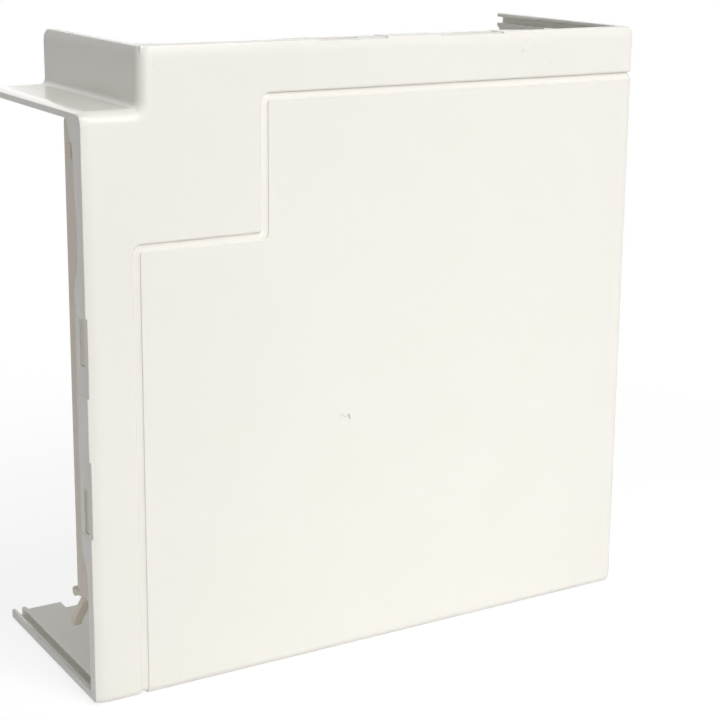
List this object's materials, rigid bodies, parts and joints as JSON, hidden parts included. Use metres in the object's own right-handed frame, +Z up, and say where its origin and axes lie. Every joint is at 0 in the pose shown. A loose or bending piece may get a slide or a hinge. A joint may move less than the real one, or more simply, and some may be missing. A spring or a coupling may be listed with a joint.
{
  "type": "trunking corner",
  "caption": "Flat ninety degree corner hood for wall trunking, with a stepped cover, an inner corner frame, two open mouths and an open back.",
  "frame": {"origin": "under the middle of the bounding box, in the plane of the bottom wall's underside", "axes": "+Z up towards the top mouth, +X to the right away from the left mouth, +Y back towards the wall, so that the front face looks along -Y"},
  "size_m": [0.1944, 0.073, 0.1944],
  "materials": {
    "hood_plastic": "satin, fine moulded texture",
    "bracket_plastic": "matt moulded plastic"
  },
  "bodies": {
    "root": {"inner_corner_frame": "hood_plastic", "outer_cover": "hood_plastic", "left_coupling_bracket": "bracket_plastic", "top_coupling_bracket": "bracket_plastic"}
  },
  "joints": []
}
